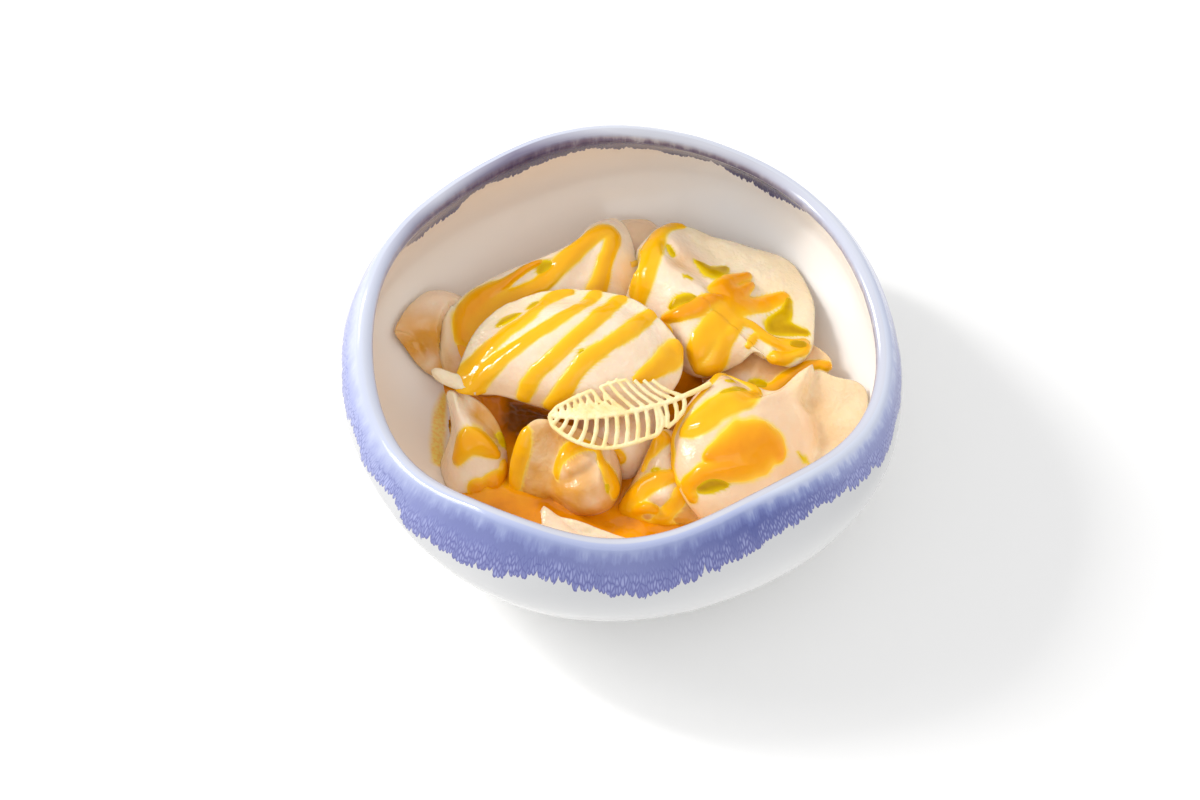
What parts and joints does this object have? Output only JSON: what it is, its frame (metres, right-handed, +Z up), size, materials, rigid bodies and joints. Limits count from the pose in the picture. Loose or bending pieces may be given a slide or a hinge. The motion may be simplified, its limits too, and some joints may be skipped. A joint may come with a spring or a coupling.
{
  "type": "bowl of filled dumplings",
  "caption": "Hand-formed glazed bowl of boiled half-moon dumplings with drizzled sauce, a sauce pool and a lace leaf wafer.",
  "frame": {"origin": "middle of the bowl's flat foot, on the table", "axes": "+Z up out of the bowl, -Y towards the front where the rim dips, +X to the right"},
  "size_m": [0.1796, 0.1815, 0.0699],
  "materials": {
    "porcelain": "white glossy glazed ceramic with a blue reactive glaze band round the rim",
    "dough": "soft wet boiled dough",
    "sauce": "glossy yellow-orange sauce with green herb oil",
    "wafer": "dry pale yellow lace wafer"
  },
  "bodies": {
    "root": {"bowl": "porcelain", "dumpling_top": "dough", "dumpling_back_left": "dough", "dumpling_back_right": "dough", "dumpling_right": "dough", "dumpling_left": "dough", "dumpling_front": "dough", "dumpling_front_right": "dough", "dumpling_far_left": "dough", "dumpling_back": "dough", "dumpling_under_right": "dough", "dumpling_middle": "dough", "dumpling_front_edge": "dough", "sauce_pool": "sauce", "lace_leaf": "wafer"}
  },
  "joints": []
}
